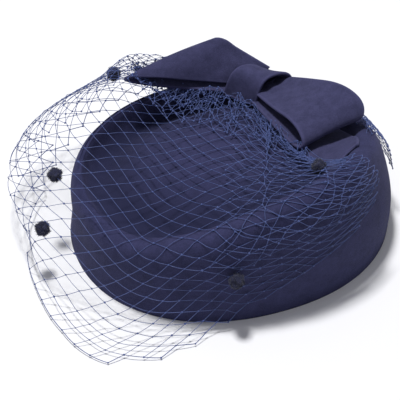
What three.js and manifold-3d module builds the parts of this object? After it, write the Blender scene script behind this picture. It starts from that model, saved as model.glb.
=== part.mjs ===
// A pillbox hat of moulded felt with a felt bow and a gathered veil of coarse net.
// Millimetres, +Z up. +X is the high back of the crown, -X its low front.
import * as THREE from 'three';
import { mergeVertices } from 'three/addons/utils/BufferGeometryUtils.js';
import Module from 'manifold-3d';

const wasm = await Module();
wasm.setup();

// Crown sizes
const CROWN_LENGTH = 206;
const CROWN_WIDTH = 176;
const CROWN_SQUARENESS = 2.15;
const FELT_WALL = 2.4;
const CREST_HEIGHT = 82;
const WALL_BULGE = 3;
const WALL_LEAN = 8;
const SHOULDER_INSET = 8;
const RIM_WIDTH = 17;
const GROOVE_WIDTH = 19;
const GROOVE_DEPTH = 15;
const DOME_HEIGHT = 64;
const DOME_SHIFT = 10;

// Bow sizes
const BOW_TURN_DEG = -20;
const BOW_FELT = 2.2;
const BOW_LENGTH = 160;
const BOW_WIDTH = 100;
const BOW_RISE = 36;
const KNOT_ACROSS = 10;
const KNOT_BACK = 58;

// Veil sizes
const NET_COLUMNS = 22;
const NET_ROWS = 12;
const NET_STRAND = 1.5;
const NET_KNOT = 2.6;
const NET_SAG = 1.6;
const VEIL_LIFT = 30;
const VEIL_STAND = 44;
const VEIL_SKIRT = 58;
const DOT_DIAMETER = 10;
const DOT_LOBE = 0.6;
const CLEARANCE = 0.3;
const PUSH_REACH = 8;

// Steps of the meshes and of the curves that they follow
const CROWN_AROUND = 54;
const CROWN_STEPS = 18;
const SAMPLES_AROUND = 120;
const SAMPLES_UP = 72;
const RIB_SAMPLES = 80;
const SLOPE_STEP = 0.01;
const KNOT_SHARE = 0.2;
const WELD = 1e-4;

// Colours
const NAVY_FELT = 0x2b2d4c;
const NAVY_BOW = 0x34365a;
const NAVY_NET = 0x2c3a72;
const NAVY_DOT = 0x15182f;

// Crown sections, one for each turn in degrees from the back, seen from above.
// crest, bulge, lean, rim, groove and dome are shares of the crown sizes above.
const CROWN_SECTIONS = [
  { turn: 0, crest: 0.72, bulge: 0.2, lean: 1.0, rim: 0.8, groove: 0.4, dome: 0.92 },
  { turn: 30, crest: 0.69, bulge: 0.2, lean: 1.0, rim: 0.6, groove: 0.5, dome: 0.86 },
  { turn: 60, crest: 0.65, bulge: 0.2, lean: 0.8, rim: 0.5, groove: 0.6, dome: 0.82 },
  { turn: 90, crest: 0.65, bulge: 0.2, lean: 0.6, rim: 0.5, groove: 0.8, dome: 0.80 },
  { turn: 120, crest: 0.63, bulge: 0.0, lean: 0.3, rim: 0.5, groove: 1.0, dome: 0.77 },
  { turn: 150, crest: 0.59, bulge: -0.6, lean: 0.2, rim: 0.5, groove: 0.9, dome: 0.72 },
  { turn: 180, crest: 0.57, bulge: -0.8, lean: 0.2, rim: 0.6, groove: 0.6, dome: 0.68 },
  { turn: 210, crest: 0.56, bulge: -0.4, lean: 0.1, rim: 0.9, groove: 0.6, dome: 0.68 },
  { turn: 240, crest: 0.74, bulge: 0.2, lean: 0.0, rim: 1.0, groove: 1.0, dome: 0.78 },
  { turn: 270, crest: 0.96, bulge: 0.6, lean: 0.0, rim: 1.0, groove: 1.2, dome: 0.94 },
  { turn: 300, crest: 1.02, bulge: 1.0, lean: 0.4, rim: 1.0, groove: 1.0, dome: 1.06 },
  { turn: 330, crest: 0.89, bulge: 0.8, lean: 0.9, rim: 1.0, groove: 0.6, dome: 1.04 },
];

// Bow strips, a row for each section along the strip. Each row gives its two edges:
// along and back are shares of the bow's length and width, counted from the knot's middle,
// and up is a share of its rise above the knot's seat.
const LEFT_LOOP = [
  { along: [-0.02, 0.10], back: [0.07, 0.19], up: [0.38, 0.48] },
  { along: [-0.19, -0.02], back: [0.01, 0.23], up: [0.59, 0.79] },
  { along: [-0.25, -0.05], back: [-0.03, 0.23], up: [0.70, 0.89] },
  { along: [-0.34, -0.08], back: [-0.07, 0.23], up: [0.84, 1.04] },
  { along: [-0.49, -0.13], back: [-0.11, 0.24], up: [0.92, 1.05] },
  { along: [-0.48, -0.14], back: [-0.10, 0.24], up: [0.78, 0.85] },
  { along: [-0.34, -0.10], back: [-0.06, 0.24], up: [0.60, 0.66] },
  { along: [-0.27, -0.08], back: [-0.03, 0.24], up: [0.50, 0.55] },
  { along: [-0.04, 0.07], back: [0.02, 0.14], up: [0.28, 0.30] },
];
const RIGHT_LOOP = [
  { along: [0.04, 0.15], back: [-0.08, 0.08], up: [0.50, 0.50] },
  { along: [0.11, 0.25], back: [-0.35, -0.07], up: [0.74, 0.77] },
  { along: [0.14, 0.29], back: [-0.45, -0.14], up: [0.85, 0.89] },
  { along: [0.18, 0.37], back: [-0.58, -0.23], up: [0.97, 1.03] },
  { along: [0.22, 0.46], back: [-0.72, -0.35], up: [0.89, 0.93] },
  { along: [0.21, 0.46], back: [-0.74, -0.44], up: [0.67, 0.65] },
  { along: [0.15, 0.37], back: [-0.59, -0.40], up: [0.62, 0.57] },
  { along: [0.11, 0.31], back: [-0.46, -0.28], up: [0.61, 0.55] },
  { along: [0.03, 0.15], back: [-0.11, 0.03], up: [0.36, 0.34] },
];
const KNOT_WRAP = [
  { along: [0.09, 0.21], back: [0.08, 0.00], up: [-0.08, -0.08] },
  { along: [0.08, 0.20], back: [0.12, 0.04], up: [0.32, 0.32] },
  { along: [0.07, 0.19], back: [0.13, 0.05], up: [0.54, 0.55] },
  { along: [0.05, 0.17], back: [0.12, 0.03], up: [0.68, 0.71] },
  { along: [0.00, 0.12], back: [0.07, -0.04], up: [0.79, 0.84] },
  { along: [-0.05, 0.06], back: [0.02, -0.11], up: [0.78, 0.83] },
  { along: [-0.08, 0.04], back: [0.01, -0.13], up: [0.28, 0.32] },
];
const TAIL = [
  { along: [0.14, 0.34], back: [-0.44, -0.28], up: [0, 0] },
  { along: [0.18, 0.39], back: [-0.60, -0.38], up: [0, 0] },
  { along: [0.22, 0.42], back: [-0.76, -0.50], up: [0, 0] },
  { along: [0.26, 0.43], back: [-0.88, -0.62], up: [0, 0] },
  { along: [0.30, 0.42], back: [-0.98, -0.74], up: [0, 0] },
];

// Ribs of the veil from the bow's side to its far end, at turns like the crown's. A rib starts at
// x and y, shares of half the crown's length and width. span and top are shares of the lift,
// high, mid and low of the stand off the wall, out of the skirt, and hem of the crest's height.
const VEIL_RIBS = [
  { turn: 112, x: -0.46, y: 0.8, span: 0.8, top: 1.15, high: 0.62, mid: 0.75, low: 0.55, out: 0.35, hem: 0.42 },
  { turn: 130, x: -0.38, y: 0.73, span: 0.9, top: 1.25, high: 1, mid: 0.98, low: 0.6, out: 0.35, hem: 0.2 },
  { turn: 150, x: -0.26, y: 0.69, span: 0.8, top: 1.05, high: 1.1, mid: 1, low: 0.6, out: 0.35, hem: 0.06 },
  { turn: 168, x: -0.14, y: 0.64, span: 0.6, top: 0.75, high: 0.98, mid: 0.75, low: 0.55, out: 0.46, hem: 0.02 },
  { turn: 186, x: -0.01, y: 0.58, span: 0.4, top: 0.45, high: 0.6, mid: 0.64, low: 0.7, out: 0.6, hem: 0 },
  { turn: 204, x: 0.1, y: 0.51, span: 0.3, top: 0.2, high: 0.12, mid: 0.28, low: 0.52, out: 0.78, hem: 0 },
  { turn: 222, x: 0.19, y: 0.42, span: 0.2, top: 0.14, high: 0.06, mid: 0.08, low: 0.34, out: 0.88, hem: 0 },
  { turn: 238, x: 0.24, y: 0.28, span: 0.1, top: 0.14, high: 0.06, mid: 0.02, low: 0.14, out: 0.5, hem: 0 },
  { turn: 252, x: 0.26, y: 0.08, span: 0.1, top: 0.14, high: 0.06, mid: 0.02, low: 0.02, out: 0.1, hem: 0.02 },
  { turn: 266, x: 0.25, y: -0.17, span: 0, top: 0.14, high: 0.06, mid: 0.02, low: 0, out: 0, hem: 0.24 },
  { turn: 280, x: 0.24, y: -0.42, span: 0, top: 0.14, high: 0.06, mid: 0.02, low: 0, out: 0, hem: 0.4 },
  { turn: 296, x: 0.34, y: -0.72, span: 0, top: 0.2, high: 0.06, mid: 0.02, low: 0, out: 0, hem: 0.56 },
  { turn: 312, x: 0.6, y: -0.78, span: 0, top: 0.14, high: 0.06, mid: 0.02, low: 0, out: 0, hem: 0.68 },
];

// Chenille dots on the net's knots, as shares of its columns and rows.
const DOTS = [
  { across: 0.068, down: 0.542 },
  { across: 0.295, down: 0.625 },
  { across: 0.341, down: 0.792 },
  { across: 0.659, down: 0.792 },
  { across: 0.841, down: 0.208 },
];

const DEGREE = Math.PI / 180;
const v3 = (x, y, z) => new THREE.Vector3(x, y, z);
const mix = (a, b, share) => a + (b - a) * share;

// A table's column at a turn in degrees, on a closed smooth curve through its rows (Catmull-Rom).
function ringValue(rows, column, turn) {
  const count = rows.length;
  const wrapped = ((turn % 360) + 360) % 360;
  const i = rows.findLastIndex((row) => row.turn <= wrapped);
  const end = i + 1 < count ? rows[i + 1].turn : 360;
  const f = (wrapped - rows[i].turn) / (end - rows[i].turn);
  const [a, b, c, d] = [-1, 0, 1, 2].map((k) => rows[(i + k + count) % count][column]);
  return b + 0.5 * f * (c - a + f * (2 * a - 5 * b + 4 * c - d + f * (3 * (b - c) + d - a)));
}

// Weights of the four control values that a clamped cubic B-spline uses at share 0 to 1.
function splineWeights(count, share) {
  const spans = count + 1;
  const place = Math.min(Math.max(share, 0) * spans, spans - 1e-9);
  const i = Math.floor(place);
  const f = place - i;
  const weights = [(1 - f) ** 3, 3 * f ** 3 - 6 * f ** 2 + 4, -3 * f ** 3 + 3 * f ** 2 + 3 * f + 1, f ** 3];
  return weights.map((w, k) => [Math.min(Math.max(i + k - 2, 0), count - 1), w / 6]);
}

const splineValue = (values, share) =>
  splineWeights(values.length, share).reduce((sum, [i, w]) => sum + w * values[i], 0);

const splinePoint = (points, share) =>
  splineWeights(points.length, share).reduce((sum, [i, w]) => sum.addScaledVector(points[i], w), v3(0, 0, 0));

// The oval that runs round the hat, inset from the bottom edge, at an angle in radians.
function oval(inset, angle) {
  const bend = 2 / CROWN_SQUARENESS;
  const c = Math.cos(angle);
  const s = Math.sin(angle);
  return [
    (CROWN_LENGTH / 2 - inset) * Math.sign(c) * Math.abs(c) ** bend,
    (CROWN_WIDTH / 2 - inset) * Math.sign(s) * Math.abs(s) ** bend,
  ];
}

// Control points of one crown section: wall, shoulder, rim, groove, then the dome to its middle.
function crownControls(angle) {
  const at = (column) => ringValue(CROWN_SECTIONS, column, angle / DEGREE);
  const crest = at('crest') * CREST_HEIGHT;
  const bulge = at('bulge') * WALL_BULGE;
  const lean = at('lean') * WALL_LEAN;
  const rim = lean + at('rim') * RIM_WIDTH;
  const floor = crest - at('groove') * GROOVE_DEPTH;
  const dome = at('dome') * DOME_HEIGHT;
  const ring = (inset, height) => {
    const [x, y] = oval(inset, angle);
    return v3(x, y, height);
  };
  const domeRing = (share) => {
    const [x, y] = oval(rim + GROOVE_WIDTH, angle);
    const height = mix(DOME_HEIGHT, dome, share ** 2);
    return v3(x * share + DOME_SHIFT * (share - 1), y * share, height);
  };
  return [
    ring(0, 0),
    ring(lean * 0.04 - bulge * 0.5, crest * 0.2),
    ring(lean * 0.2 - bulge, crest * 0.45),
    ring(lean * 0.7, crest * 0.78),
    ring(lean + SHOULDER_INSET * 0.25, crest * 0.98),
    ring(lean + SHOULDER_INSET, crest * 1.02),
    ring(rim * 0.85, crest * 1.01),
    ring(rim, crest * 0.98),
    ring(rim + GROOVE_WIDTH * 0.1, mix(crest, floor, 0.8)),
    ring(rim + GROOVE_WIDTH * 0.45, floor),
    ring(rim + GROOVE_WIDTH * 0.85, mix(floor, dome, 0.3)),
    domeRing(0.86),
    domeRing(0.6),
    domeRing(0.3),
    domeRing(0),
  ];
}

const crownPoint = (angle, share) => splinePoint(crownControls(angle), share);

function crownNormal(angle, share) {
  const below = crownPoint(angle, Math.max(share - SLOPE_STEP, 0));
  const above = crownPoint(angle, Math.min(share + SLOPE_STEP, 1));
  const round = crownPoint(angle + SLOPE_STEP, share).sub(crownPoint(angle - SLOPE_STEP, share));
  return round.cross(above.sub(below)).normalize();
}

// Joins a soup of triangles into one solid of the boolean library.
function toSolid(geometry) {
  const bare = geometry.clone();
  bare.deleteAttribute('normal');
  bare.deleteAttribute('uv');
  const joined = mergeVertices(bare, WELD);
  const positions = new Float32Array(joined.attributes.position.array);
  const faces = new Uint32Array(joined.index.array);
  return new wasm.Manifold(new wasm.Mesh({ numProp: 3, vertProperties: positions, triVerts: faces }));
}

function fromSolid(solid) {
  const mesh = solid.getMesh();
  const geometry = new THREE.BufferGeometry();
  geometry.setAttribute('position', new THREE.BufferAttribute(mesh.vertProperties, 3));
  geometry.setIndex(new THREE.BufferAttribute(mesh.triVerts, 1));
  return geometry;
}

function geometryOf(points, faces) {
  const geometry = new THREE.BufferGeometry();
  const corners = points.flatMap((p) => [p.x, p.y, p.z]);
  geometry.setAttribute('position', new THREE.Float32BufferAttribute(corners, 3));
  geometry.setIndex(faces.flat());
  return geometry;
}

// Gives a sheet of quads a thickness: a face on each side, and a wall along each open edge.
function thicken(points, normals, quads, thickness) {
  const count = points.length;
  const side = (sign) => points.map((p, i) => p.clone().addScaledVector(normals[i], (sign * thickness) / 2));
  const faces = [];
  const edges = new Map();
  quads.forEach(([a, b, c, d]) => {
    faces.push([a, b, c], [a, c, d]);
    faces.push([c + count, b + count, a + count], [d + count, c + count, a + count]);
    [[a, b], [b, c], [c, d], [d, a]].forEach(([p, q]) => edges.set(`${p},${q}`, [p, q]));
  });
  edges.forEach(([p, q]) => {
    if (!edges.has(`${q},${p}`)) faces.push([q, p, p + count], [q, p + count, q + count]);
  });
  return geometryOf([...side(1), ...side(-1)], faces);
}

// The crown is one shell: its outside, its inside a wall further in, and a flat bottom edge.
function crownShell() {
  const outside = [];
  const inside = [];
  for (let j = 0; j < CROWN_STEPS; j += 1) {
    for (let i = 0; i < CROWN_AROUND; i += 1) {
      const angle = (2 * Math.PI * i) / CROWN_AROUND;
      const share = j / CROWN_STEPS;
      const point = crownPoint(angle, share);
      const normal = crownNormal(angle, share);
      if (j === 0) normal.setZ(0).normalize();
      outside.push(point);
      inside.push(point.clone().addScaledVector(normal, -FELT_WALL));
    }
  }
  const top = crownPoint(0, 1);
  const points = [...outside, top, ...inside, top.clone().setZ(top.z - FELT_WALL)];
  const innerStart = outside.length + 1;
  const at = (start, i, j) => start + j * CROWN_AROUND + (i % CROWN_AROUND);
  const faces = [];
  for (let i = 0; i < CROWN_AROUND; i += 1) {
    for (let j = 0; j + 1 < CROWN_STEPS; j += 1) {
      const o = [at(0, i, j), at(0, i + 1, j), at(0, i + 1, j + 1), at(0, i, j + 1)];
      const n = o.map((k) => k + innerStart);
      faces.push([o[0], o[1], o[2]], [o[0], o[2], o[3]]);
      faces.push([n[2], n[1], n[0]], [n[3], n[2], n[0]]);
    }
    const last = CROWN_STEPS - 1;
    faces.push([at(0, i, last), at(0, i + 1, last), outside.length]);
    faces.push([at(innerStart, i + 1, last), at(innerStart, i, last), points.length - 1]);
    const [a, b] = [at(0, i, 0), at(0, i + 1, 0)];
    faces.push([b, a, a + innerStart], [b, a + innerStart, b + innerStart]);
  }
  return geometryOf(points, faces);
}

// The crown's outside as sampled points with their normals, to set other pieces on.
const crownSamples = (() => {
  const samples = [];
  for (let j = 0; j <= SAMPLES_UP; j += 1) {
    for (let i = 0; i < SAMPLES_AROUND; i += 1) {
      const angle = (2 * Math.PI * i) / SAMPLES_AROUND;
      const share = Math.min(j / SAMPLES_UP, 1 - SLOPE_STEP / 2);
      samples.push({ point: crownPoint(angle, share), normal: crownNormal(angle, share), top: share > 0.4 });
    }
  }
  return samples;
})();

function nearest(distance) {
  let best = crownSamples[0];
  let least = Infinity;
  crownSamples.forEach((sample) => {
    const d = distance(sample);
    if (d < least) {
      least = d;
      best = sample;
    }
  });
  return best;
}

// Moves a point near the crown outwards until it stands the given height off it.
function standOff(point, height) {
  const moved = point.clone();
  for (let pass = 0; pass < 3; pass += 1) {
    const { point: q, normal } = nearest((sample) => sample.point.distanceToSquared(moved));
    const off = moved.clone().sub(q).dot(normal);
    if (off < height && moved.distanceTo(q) < PUSH_REACH) moved.addScaledVector(normal, height - off);
  }
  return moved;
}

function crownHeightAt(x, y) {
  const found = nearest(({ point, top }) => (top ? (point.x - x) ** 2 + (point.y - y) ** 2 : Infinity));
  return found.point.z;
}

// The bow's own directions: along it, back across it and up, turned on the crown.
const bowTurn = BOW_TURN_DEG * DEGREE;
const bowPoint = (along, back, up) => v3(
  along * Math.cos(bowTurn) - back * Math.sin(bowTurn),
  along * Math.sin(bowTurn) + back * Math.cos(bowTurn),
  up,
);
const knotSeat = bowPoint(KNOT_ACROSS, KNOT_BACK, 0);
knotSeat.z = crownHeightAt(knotSeat.x, knotSeat.y) + CLEARANCE;

// A strip of felt through its table's sections, straight across between its two edges.
function strip(rows, { along, across, thickness, spread, lies = false }) {
  const edge = (side) => rows.map((row) => {
    const rise = row.up[side] * BOW_RISE;
    const point = bowPoint(row.along[side] * BOW_LENGTH, row.back[side] * BOW_WIDTH, rise).add(knotSeat);
    if (lies) point.z = rise + BOW_FELT / 2 + CLEARANCE + crownHeightAt(point.x, point.y);
    return point;
  });
  const [near, far] = [edge(0), edge(1)];
  const at = (s, t) => {
    const a = splinePoint(near, s);
    const b = splinePoint(far, s);
    return a.add(b.sub(a).multiplyScalar(t));
  };
  const points = [];
  const normals = [];
  const quads = [];
  for (let i = 0; i <= along; i += 1) {
    for (let j = 0; j <= across; j += 1) {
      const s = i / along;
      const t = mix(-spread, 1 + spread, j / across);
      const down = at(Math.min(s + SLOPE_STEP, 1), t).sub(at(Math.max(s - SLOPE_STEP, 0), t));
      const over = at(s, 1).sub(at(s, 0));
      normals.push(down.cross(over).normalize());
      points.push(standOff(at(s, t), BOW_FELT / 2 + CLEARANCE));
    }
  }
  const index = (i, j) => i * (across + 1) + j;
  for (let i = 0; i < along; i += 1) {
    for (let j = 0; j < across; j += 1) {
      quads.push([index(i, j), index(i + 1, j), index(i + 1, j + 1), index(i, j + 1)]);
    }
  }
  return toSolid(thicken(points, normals, quads, thickness));
}

const largest = (solid) => solid.decompose().reduce((a, b) => (a.volume() > b.volume() ? a : b));

function named(name, geometry, color) {
  const material = new THREE.MeshStandardMaterial({ color, roughness: 0.95, metalness: 0 });
  const mesh = new THREE.Mesh(geometry, material);
  mesh.name = name;
  return mesh;
}

// How far in from the bottom edge the wall stands, at a share of the crest's height.
function wallInset(angle, share) {
  const lean = ringValue(CROWN_SECTIONS, 'lean', angle / DEGREE) * WALL_LEAN;
  const bulge = ringValue(CROWN_SECTIONS, 'bulge', angle / DEGREE) * WALL_BULGE;
  return lean * share ** 2 - bulge * Math.sin(Math.PI * share);
}

// One rib of the veil, as points evenly spaced from the bow to the hem.
function veilRib(turns) {
  const at = (column) => splineValue(VEIL_RIBS.map((row) => row[column]), turns);
  const angle = at('turn') * DEGREE;
  const section = crownControls(angle);
  const crestPoint = section[5];
  const crest = crestPoint.z;
  const hem = at('hem') * CREST_HEIGHT;
  const wall = (share, stand) => {
    const height = mix(hem, crest, share);
    const [x, y] = oval(wallInset(angle, height / crest) - stand * VEIL_STAND, angle);
    return v3(x, y, height);
  };
  const start = v3((at('x') * CROWN_LENGTH) / 2, (at('y') * CROWN_WIDTH) / 2, 0);
  start.z = crownHeightAt(start.x, start.y);
  const over = crestPoint.clone().setZ(crest + at('top') * VEIL_LIFT);
  const span = start.clone().lerp(over, 0.5);
  span.z = Math.max(span.z, crownHeightAt(span.x, span.y)) + at('span') * VEIL_LIFT;
  const [hemX, hemY] = oval(wallInset(angle, hem / crest) - at('out') * VEIL_SKIRT, angle);
  const controls = [
    start,
    span,
    over,
    wall(0.75, at('high')),
    wall(0.45, at('mid')),
    wall(0.15, at('low')),
    v3(hemX, hemY, Math.max(hem, NET_STRAND)),
  ];
  const fine = Array.from({ length: RIB_SAMPLES + 1 }, (_, i) => splinePoint(controls, i / RIB_SAMPLES));
  const lengths = [0];
  for (let i = 1; i <= RIB_SAMPLES; i += 1) lengths.push(lengths[i - 1] + fine[i].distanceTo(fine[i - 1]));
  return (share) => {
    const goal = share * lengths[RIB_SAMPLES];
    let i = 1;
    while (i < RIB_SAMPLES && lengths[i] < goal) i += 1;
    const f = (goal - lengths[i - 1]) / (lengths[i] - lengths[i - 1]);
    return fine[i - 1].clone().lerp(fine[i], Math.min(f, 1));
  };
}

const ribCache = new Map();
function veilPoint(across, down) {
  const key = across.toFixed(5);
  if (!ribCache.has(key)) ribCache.set(key, veilRib(across));
  const off = NET_STRAND / 2 + CLEARANCE + NET_SAG;
  const point = standOff(ribCache.get(key)(down), off);
  point.z = Math.max(point.z, NET_STRAND);
  return point;
}

function veilNormal(across, down) {
  const lo = (value) => Math.max(value - SLOPE_STEP, 0);
  const hi = (value) => Math.min(value + SLOPE_STEP, 1);
  const a = veilPoint(hi(across), down).sub(veilPoint(lo(across), down));
  const b = veilPoint(across, hi(down)).sub(veilPoint(across, lo(down)));
  return b.cross(a).normalize();
}

// The net: a square patch at each knot, and a strand of rectangular section between two knots.
function net(extra) {
  const points = [];
  const normals = [];
  const quads = [];
  const add = (point, normal) => {
    normals.push(normal);
    return points.push(point) - 1;
  };
  const knots = new Map();
  const isKnot = (i, j) => i >= 0 && j >= 0 && i <= NET_COLUMNS && j <= NET_ROWS && (i + j) % 2 === 0;
  const inside = (share) => Math.min(Math.max(share, 0), 1);
  const place = (i, j) => [inside(i / NET_COLUMNS), inside(j / NET_ROWS)];
  const corners = [[0, -1], [1, 0], [0, 1], [-1, 0]];
  for (let i = 0; i <= NET_COLUMNS; i += 1) {
    for (let j = 0; j <= NET_ROWS; j += 1) {
      if (!isKnot(i, j)) continue;
      const centre = veilPoint(...place(i, j));
      const normal = veilNormal(...place(i, j));
      const beside = (di, dj) => veilPoint(...place(i + di * KNOT_SHARE, j + dj * KNOT_SHARE));
      const axisU = beside(1, 0).sub(beside(-1, 0)).normalize();
      const axisV = beside(0, 1).sub(beside(0, -1)).normalize();
      const reach = (NET_KNOT + extra) / 2;
      const ids = corners.map(([di, dj]) => add(
        centre.clone().addScaledVector(axisU, di * reach).addScaledVector(axisV, dj * reach),
        normal,
      ));
      quads.push([ids[0], ids[3], ids[2], ids[1]]);
      knots.set(`${i},${j}`, { ids, centre });
    }
  }
  const strand = (from, to, fromSides, toSides, middles) => {
    let [left, right] = fromSides.map((k) => from.ids[k]);
    middles.forEach(([u, v]) => {
      const centre = veilPoint(u, v);
      const normal = veilNormal(u, v);
      const ahead = to.centre.clone().sub(from.centre).normalize();
      const side = ahead.clone().cross(normal).normalize().multiplyScalar((NET_STRAND + extra) / 2);
      const l = add(centre.clone().add(side), normal);
      const r = add(centre.clone().sub(side), normal);
      quads.push([left, l, r, right]);
      [left, right] = [l, r];
    });
    quads.push([left, to.ids[toSides[0]], to.ids[toSides[1]], right]);
  };
  knots.forEach((from, key) => {
    const [i, j] = key.split(',').map(Number);
    const middle = (di) => [[(i + di * 0.5) / NET_COLUMNS, (j + 0.5) / NET_ROWS]];
    if (isKnot(i + 1, j + 1)) strand(from, knots.get(`${i + 1},${j + 1}`), [2, 1], [3, 0], middle(1));
    if (isKnot(i - 1, j + 1)) strand(from, knots.get(`${i - 1},${j + 1}`), [3, 2], [0, 1], middle(-1));
  });
  return toSolid(thicken(points, normals, quads, NET_STRAND + extra));
}

// A dot of chenille: a ball with soft lobes, tied round a knot of the net.
function dot({ across, down }, netRoom) {
  const column = Math.round(across * NET_COLUMNS * 2) / 2;
  const onKnot = Number.isInteger(column);
  const row = onKnot
    ? Math.round((down * NET_ROWS + column) / 2) * 2 - column
    : Math.round(down * NET_ROWS - 0.5) + 0.5;
  const share = [column / NET_COLUMNS, Math.min(Math.max(row, 0), NET_ROWS) / NET_ROWS];
  const centre = standOff(veilPoint(...share), DOT_DIAMETER / 2 + CLEARANCE + DOT_LOBE);
  const ball = new THREE.IcosahedronGeometry(DOT_DIAMETER / 2, 1);
  const corner = ball.attributes.position;
  for (let k = 0; k < corner.count; k += 1) {
    const p = v3().fromBufferAttribute(corner, k);
    const n = p.clone().normalize();
    const lobe = Math.sin(5 * n.x + 1) * Math.sin(5 * n.y + 2) * Math.sin(5 * n.z);
    p.addScaledVector(n, lobe * DOT_LOBE).add(centre);
    corner.setXYZ(k, p.x, p.y, p.z);
  }
  return fromSolid(largest(toSolid(ball).subtract(netRoom)));
}

const hat = new THREE.Group();
hat.add(named('felt_crown', crownShell(), NAVY_FELT));
const loopGrid = { along: 26, across: 4, thickness: BOW_FELT, spread: 0 };
const knotGrid = { along: 14, across: 3, thickness: BOW_FELT, spread: 0 };
const knot = strip(KNOT_WRAP, knotGrid);
const knotRoom = strip(KNOT_WRAP, { ...knotGrid, thickness: BOW_FELT + 2 * CLEARANCE, spread: 0.02 });
const loop = (rows) => fromSolid(largest(strip(rows, loopGrid).subtract(knotRoom)));
hat.add(named('bow_left_loop', loop(LEFT_LOOP), NAVY_BOW));
hat.add(named('bow_right_loop', loop(RIGHT_LOOP), NAVY_BOW));
hat.add(named('bow_knot', fromSolid(knot), NAVY_BOW));
const tailGrid = { along: 10, across: 4, thickness: BOW_FELT, spread: 0, lies: true };
hat.add(named('bow_tail', fromSolid(strip(TAIL, tailGrid)), NAVY_BOW));
const veil = net(0);
hat.add(named('veil', fromSolid(veil), NAVY_NET));
const netRoom = net(2 * CLEARANCE);
DOTS.forEach((row, k) => hat.add(named(`veil_dot_${k + 1}`, dot(row, netRoom), NAVY_DOT)));

// The origin is the middle of the whole hat's box, on the surface that it stands on.
const box = new THREE.Box3().setFromObject(hat);
const middle = box.getCenter(v3());
hat.position.set(-middle.x, -middle.y, -box.min.z);

export default hat;
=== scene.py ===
"""A navy felt pillbox hat with a felt bow and a dotted net veil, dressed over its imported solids.

Lengths are millimetres in the tables and formulas, and MM turns them into Blender's metres.
Every shape is a numpy surface: a function of two shares on a grid, or a profile along a path.
"""

import bpy
import numpy as np
from mathutils import Matrix, Vector


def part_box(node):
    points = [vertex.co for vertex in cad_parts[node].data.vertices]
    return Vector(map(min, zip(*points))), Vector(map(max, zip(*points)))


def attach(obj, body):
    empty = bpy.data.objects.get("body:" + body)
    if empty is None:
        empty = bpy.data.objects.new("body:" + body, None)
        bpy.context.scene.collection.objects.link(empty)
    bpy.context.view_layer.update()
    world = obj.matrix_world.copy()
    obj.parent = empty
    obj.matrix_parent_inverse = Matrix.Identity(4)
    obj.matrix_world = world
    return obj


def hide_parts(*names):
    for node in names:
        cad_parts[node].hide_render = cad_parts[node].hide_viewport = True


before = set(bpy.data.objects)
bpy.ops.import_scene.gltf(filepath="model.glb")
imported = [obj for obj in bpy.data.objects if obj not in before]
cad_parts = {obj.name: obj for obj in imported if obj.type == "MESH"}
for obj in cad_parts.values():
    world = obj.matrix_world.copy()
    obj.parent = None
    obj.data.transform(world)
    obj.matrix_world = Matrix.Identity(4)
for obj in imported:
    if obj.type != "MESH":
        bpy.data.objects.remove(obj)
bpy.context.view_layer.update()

MM = 0.001
TURN = 2 * np.pi

# Crown sizes
CROWN_LENGTH = 206
CROWN_WIDTH = 176
CROWN_SQUARENESS = 2.15
FELT_WALL = 2.4
CREST_HEIGHT = 82
WALL_BULGE = 3
WALL_LEAN = 8
SHOULDER_INSET = 8
RIM_WIDTH = 17
GROOVE_WIDTH = 19
GROOVE_DEPTH = 15
DOME_HEIGHT = 64
DOME_SHIFT = 10

# Bow sizes
BOW_TURN_DEG = -20
BOW_FELT = 2.2
BOW_LENGTH = 160
BOW_WIDTH = 100
BOW_RISE = 36
KNOT_ACROSS = 10
KNOT_BACK = 58

# Veil sizes
NET_CELL = 8.5
NET_THREAD = 0.35
NET_KNOT = 1.3
HEM_SHARE = 1.45
HEM_START = 0.8
NEAR_START = 0.5
FAR_END = 0.56
PLEAT_START = 0.76
PLEAT_FADE = 0.08
PLEAT_DEPTH = 5
PLEAT_SPACING = 37
RIB_LENGTH = 165
VEIL_LIFT = 30
VEIL_STAND = 44
VEIL_SKIRT = 58
DOT_DIAMETER = 10
CLEARANCE = 0.3
PUSH_REACH = 8

# Crown sections by turn from the back, seen from above; every column is a share of a crown size.
CROWN_COLUMNS = ("turn", "crest", "bulge", "lean", "rim", "groove", "dome")
CROWN_SECTIONS = np.array([
    (0, 0.72, 0.2, 1.0, 0.8, 0.4, 0.92),
    (30, 0.69, 0.2, 1.0, 0.6, 0.5, 0.86),
    (60, 0.65, 0.2, 0.8, 0.5, 0.6, 0.82),
    (90, 0.65, 0.2, 0.6, 0.5, 0.8, 0.80),
    (120, 0.63, 0.0, 0.3, 0.5, 1.0, 0.77),
    (150, 0.59, -0.6, 0.2, 0.5, 0.9, 0.72),
    (180, 0.57, -0.8, 0.2, 0.6, 0.6, 0.68),
    (210, 0.56, -0.4, 0.1, 0.9, 0.6, 0.68),
    (240, 0.74, 0.2, 0.0, 1.0, 1.0, 0.78),
    (270, 0.96, 0.6, 0.0, 1.0, 1.2, 0.94),
    (300, 1.02, 1.0, 0.4, 1.0, 1.0, 1.06),
    (330, 0.89, 0.8, 0.9, 1.0, 0.6, 1.04),
])

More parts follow.
